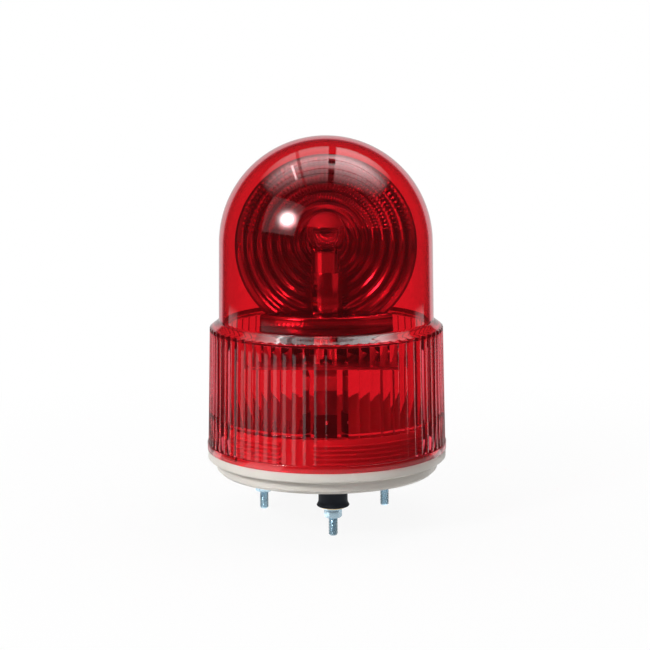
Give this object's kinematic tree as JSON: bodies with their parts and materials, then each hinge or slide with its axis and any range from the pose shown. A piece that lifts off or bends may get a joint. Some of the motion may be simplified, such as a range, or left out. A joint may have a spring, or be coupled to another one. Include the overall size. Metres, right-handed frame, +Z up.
{
  "type": "rotating beacon",
  "caption": "Rotating warning beacon: a clear red globe over a motor-driven mirror that turns round a bayonet lamp, on a round base with rubber-bushed mounting studs.",
  "frame": {"origin": "on the spin axis, in the face that the rubber bushes stand on, which is the face of the panel the beacon is bolted to", "axes": "+Z up along the spin axis, -Y towards the first mounting stud, +X to the right of it"},
  "size_m": [0.1584, 0.1584, 0.2535],
  "materials": {
    "base_moulding": "warm grey moulded ABS, satin",
    "globe_red": "clear red moulded globe, polished dome over a reeded skirt",
    "rubber_black": "moulded rubber, matt",
    "zinc_plate": "blue-white zinc plated steel",
    "yellow_zinc": "yellow passivated zinc plate",
    "bridge_steel": "zinc coated sheet steel",
    "screw_steel": "plated screws",
    "gearbox_nylon": "natural nylon",
    "motor_steel": "drawn steel can",
    "motor_black": "black moulded end cap",
    "brass": "plain brass",
    "bright_plate": "bright nickel plate",
    "reflector_bright": "vacuum metallised moulding",
    "insulator_brown": "phenolic laminate",
    "spring_steel": "spring steel",
    "lamp_glass": "clear glass",
    "lamp_brass": "nickel plated brass cap",
    "lamp_solder": "solder",
    "tungsten": "tungsten wire",
    "acetal_black": "black acetal",
    "acetal_white": "white acetal",
    "bearing_bronze": "sintered bronze",
    "terminal_grey": "grey moulded polyamide"
  },
  "bodies": {
    "stand": {"base": "base_moulding", "globe_seal": "rubber_black", "cable_grommet": "rubber_black", "rubber_bushes": "rubber_black", "mounting_studs": "zinc_plate", "plain_washers": "yellow_zinc", "spring_washers": "zinc_plate", "hex_nuts": "zinc_plate", "chassis_bridge": "bridge_steel", "bridge_screws": "screw_steel", "gearbox_housing": "gearbox_nylon", "motor_can": "motor_steel", "motor_end_cap": "motor_black", "end_cap_screw": "screw_steel", "motor_tags": "brass", "motor_screws": "screw_steel", "socket_post": "bright_plate", "post_nut": "zinc_plate", "thrust_washer": "acetal_white", "retaining_ring": "spring_steel", "lamp_socket": "bright_plate", "socket_insulator": "insulator_brown", "contact_pin": "brass", "contact_spring": "spring_steel", "spring_seat": "insulator_brown", "lamp_glass": "lamp_glass", "lamp_cap": "lamp_brass", "lamp_button": "lamp_solder", "lamp_stem": "lamp_glass", "lamp_filament": "tungsten", "terminal_block": "terminal_grey", "terminal_screws": "brass"},
    "rotor": {"turntable": "acetal_black", "turntable_bush": "bearing_bronze", "reflector": "reflector_bright", "reflector_screws": "screw_steel"},
    "pinion": {"drive_pinion": "acetal_white", "pinion_shaft": "bridge_steel"},
    "globe": {"globe": "globe_red"}
  },
  "joints": [
    {"name": "reflector_spin", "type": "hinge", "parent": "stand", "child": "rotor", "pos_m": [0, 0, 0.102], "axis": [0, 0, 1], "continuous": true},
    {"name": "pinion_spin", "type": "hinge", "parent": "stand", "child": "pinion", "pos_m": [-0.00409, -0.03889, 0.0995], "axis": [0, 0, 1], "continuous": true},
    {"name": "globe_twist", "type": "hinge", "parent": "stand", "child": "globe", "pos_m": [0, 0, 0.03], "axis": [0, 0, 1], "range_deg": [0, 40]}
  ],
  "couplings": [
    {"joint": "pinion_spin", "follows": "reflector_spin", "ratio": -5.5}
  ]
}
